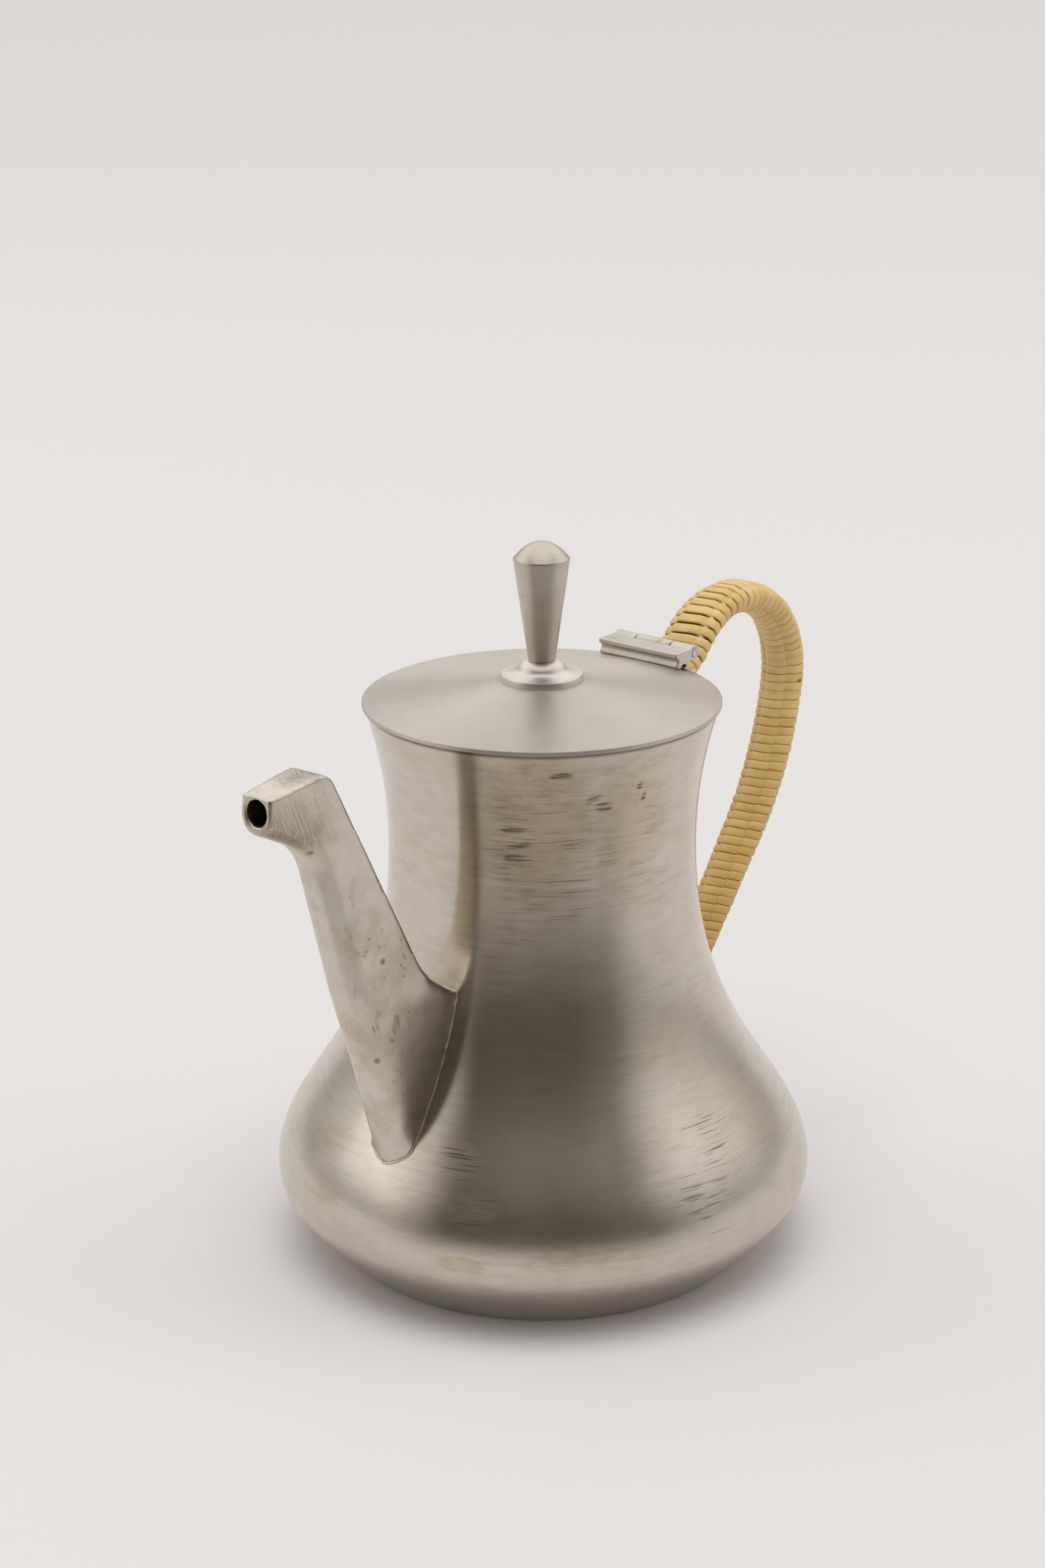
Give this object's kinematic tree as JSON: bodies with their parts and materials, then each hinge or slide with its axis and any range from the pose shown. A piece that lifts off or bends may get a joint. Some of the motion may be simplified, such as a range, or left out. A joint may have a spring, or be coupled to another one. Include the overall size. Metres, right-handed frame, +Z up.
{
  "type": "coffee pot",
  "caption": "Pewter coffee pot with a bell-shaped spun body, cast spout, hinged shallow lid with a turned knob, and a cane-wrapped loop handle.",
  "frame": {"origin": "middle of the flat base, on the table", "axes": "+Z up along the pot's axis, +X towards the handle and the lid's hinge, -X towards the spout"},
  "size_m": [0.2355, 0.1528, 0.2072],
  "materials": {
    "pewter_spun": "satin spun pewter, fine circumferential lines",
    "pewter_cast": "hand-finished cast pewter with small pits",
    "pewter_lid": "circularly brushed pewter",
    "pewter_turned": "turned pewter",
    "pewter_hinge": "worn cast pewter",
    "fixing_metal": "plain drawn wire and sheet",
    "handle_metal": "bright rubbed metal bar",
    "cane": "glossy split cane"
  },
  "bodies": {
    "pot": {"body_bowl": "pewter_spun", "body_bell": "pewter_spun", "spout": "pewter_cast", "hinge_body_leaf": "pewter_hinge", "hinge_pin": "fixing_metal", "handle_core": "handle_metal", "cane_wrap": "cane"},
    "lid": {"lid_disc": "pewter_lid", "lid_bezel": "pewter_lid", "knob_collar": "pewter_turned", "knob": "pewter_turned", "knob_washer": "fixing_metal", "knob_screw": "fixing_metal", "hinge_lid_leaf": "pewter_hinge"}
  },
  "joints": [
    {"name": "lid_hinge", "type": "hinge", "parent": "pot", "child": "lid", "pos_m": [0.0522, 0, 0.1663], "axis": [0, 1, 0], "range_deg": [0, 115]}
  ]
}
